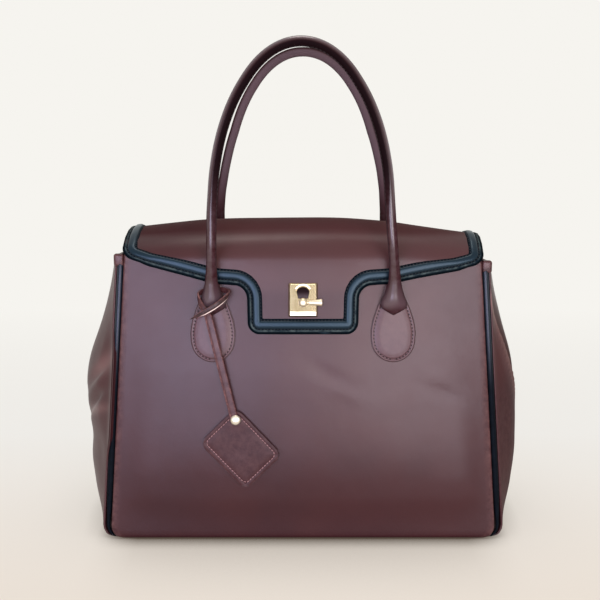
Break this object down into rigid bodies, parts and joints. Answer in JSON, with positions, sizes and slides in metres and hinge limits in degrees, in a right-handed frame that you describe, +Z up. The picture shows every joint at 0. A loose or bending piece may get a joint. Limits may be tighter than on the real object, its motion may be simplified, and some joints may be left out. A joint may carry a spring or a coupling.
{
  "type": "top handle bag",
  "caption": "Structured leather top handle bag with a front flap, turn lock lever, rolled handles and a hang tag on a strap.",
  "frame": {"origin": "middle of the flat base, on the surface the bag stands on", "axes": "+Z up, front of the bag towards -Y, +X to the right seen from the front"},
  "size_m": [0.4116, 0.1488, 0.4417],
  "materials": {
    "burgundy_leather": "smooth calf leather with a soft sheen",
    "navy_leather": "smooth padded leather with stitching",
    "gold_metal": "polished light gold plating",
    "lining_cloth": "woven cotton twill",
    "base_board": "matt fibre board",
    "handle_cord": "twisted cotton cord"
  },
  "bodies": {
    "body": {"front_panel": "burgundy_leather", "back_panel": "burgundy_leather", "base_panel": "burgundy_leather", "left_gusset": "burgundy_leather", "right_gusset": "burgundy_leather", "front_left_piping": "navy_leather", "front_right_piping": "navy_leather", "back_left_piping": "navy_leather", "back_right_piping": "navy_leather", "seam_end_caps": "burgundy_leather", "front_top_facing": "burgundy_leather", "back_top_facing": "burgundy_leather", "lining": "lining_cloth", "base_board": "base_board", "front_left_handle_tab": "burgundy_leather", "front_right_handle_tab": "burgundy_leather", "back_left_handle_tab": "burgundy_leather", "back_right_handle_tab": "burgundy_leather", "flap_anchor_strip": "burgundy_leather", "lock_keeper": "gold_metal", "keeper_washer": "gold_metal"},
    "flap": {"flap_panel": "burgundy_leather", "flap_lining": "burgundy_leather", "flap_trim": "navy_leather", "lock_plate": "gold_metal", "lock_backing_plate": "gold_metal", "lock_plate_rivets": "gold_metal"},
    "lever": {"turn_lever": "gold_metal"},
    "front_handle": {"front_handle": "burgundy_leather", "front_handle_core": "handle_cord"},
    "back_handle": {"back_handle": "burgundy_leather", "back_handle_core": "handle_cord"},
    "tag_strap": {"tag_strap": "burgundy_leather", "tag_rivet": "gold_metal"},
    "tag": {"tag_front_leaf": "burgundy_leather", "tag_back_leaf": "burgundy_leather"}
  },
  "joints": [
    {"name": "flap_open", "type": "hinge", "parent": "body", "child": "flap", "pos_m": [0, 0.037, 0.262], "axis": [-1, 0, 0], "range_deg": [0, 95]},
    {"name": "front_handle_fold", "type": "hinge", "parent": "body", "child": "front_handle", "pos_m": [0, -0.0565, 0.237], "axis": [1, 0, 0], "range_deg": [0, 75]},
    {"name": "back_handle_fold", "type": "hinge", "parent": "body", "child": "back_handle", "pos_m": [0, 0.0565, 0.237], "axis": [-1, 0, 0], "range_deg": [0, 75]},
    {"name": "lever_turn", "type": "hinge", "parent": "flap", "child": "lever", "pos_m": [0, -0.05072, 0.215], "axis": [0, -0.9813, 0.1925], "range_deg": [0, 90]},
    {"name": "strap_swing", "type": "hinge", "parent": "body", "child": "tag_strap", "pos_m": [-0.0805, -0.0525, 0.2262], "axis": [0, -0.9914, 0.1309], "range_deg": [-8, 8]},
    {"name": "tag_swing", "type": "hinge", "parent": "tag_strap", "child": "tag", "pos_m": [-0.06, -0.06704, 0.112], "axis": [0, -0.9914, 0.1309], "range_deg": [-50, 50]}
  ]
}
